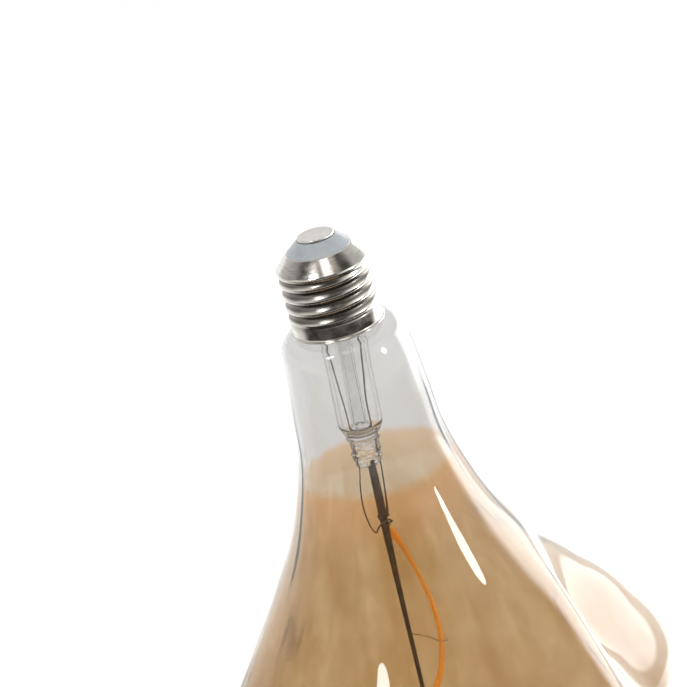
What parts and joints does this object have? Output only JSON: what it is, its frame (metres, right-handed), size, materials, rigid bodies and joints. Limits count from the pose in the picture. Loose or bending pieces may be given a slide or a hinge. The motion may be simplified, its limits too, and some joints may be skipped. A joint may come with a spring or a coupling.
{
  "type": "smart light bulb",
  "caption": "Extra large free-form amber glass LED filament light bulb with a screw cap, a winding flexible filament and a radio driver inside the cap.",
  "frame": {"origin": "centre of the centre contact's outer face, on the screw cap's axis", "axes": "+Z along the screw cap's axis and out of the centre contact; the glass body hangs towards -Z; X and Y have no feature of their own"},
  "size_m": [0.1697, 0.1533, 0.257],
  "materials": {
    "contact_plate": "satin nickel-plated disc",
    "insulator": "pale blue-grey, slightly glossy",
    "nickel_shell": "bright nickel plating, rolled",
    "cement": "matt basing cement",
    "amber_glass": "clear at the neck, amber tint below it",
    "clear_glass": "clear lead-free glass",
    "rod_metal": "dark oxidised metal",
    "lead_metal": "dark drawn wire",
    "hook_metal": "thin drawn wire",
    "phosphor": "orange phosphor silicone",
    "substrate": "flexible filament substrate",
    "tin": "tinned metal",
    "copper": "enamelled copper",
    "liner": "insulating liner",
    "green_board": "solder-masked board",
    "blue_board": "solder-masked radio board",
    "chip_black": "moulded chip body",
    "capacitor_sleeve": "dark capacitor sleeve",
    "resistor_coat": "coated resistor body",
    "antenna_ceramic": "ceramic chip antenna"
  },
  "bodies": {
    "root": {"centre_contact": "contact_plate", "cap_insulator": "insulator", "cap_shell": "nickel_shell", "basing_cement": "cement", "driver_liner": "liner", "driver_board": "green_board", "smoothing_capacitor": "capacitor_sleeve", "filter_inductor": "copper", "bridge_rectifier": "chip_black", "driver_chip": "chip_black", "fusible_resistor": "resistor_coat", "switching_transistor": "chip_black", "radio_board": "blue_board", "radio_shield": "tin", "radio_antenna": "antenna_ceramic", "live_wire": "copper", "neutral_wire": "copper", "glass_envelope": "amber_glass", "stem_tube": "clear_glass", "exhaust_tube": "clear_glass", "pinch_seal": "clear_glass", "support_rod": "rod_metal", "outer_lead_feed": "lead_metal", "outer_lead_return": "lead_metal", "inner_lead_feed": "lead_metal", "inner_lead_return": "lead_metal", "filament_substrate": "substrate", "filament_coat_front": "phosphor", "filament_coat_back": "phosphor", "filament_terminal_top": "tin", "filament_terminal_bottom": "tin", "support_hook_1": "hook_metal", "support_hook_2": "hook_metal", "support_hook_3": "hook_metal"}
  },
  "joints": []
}
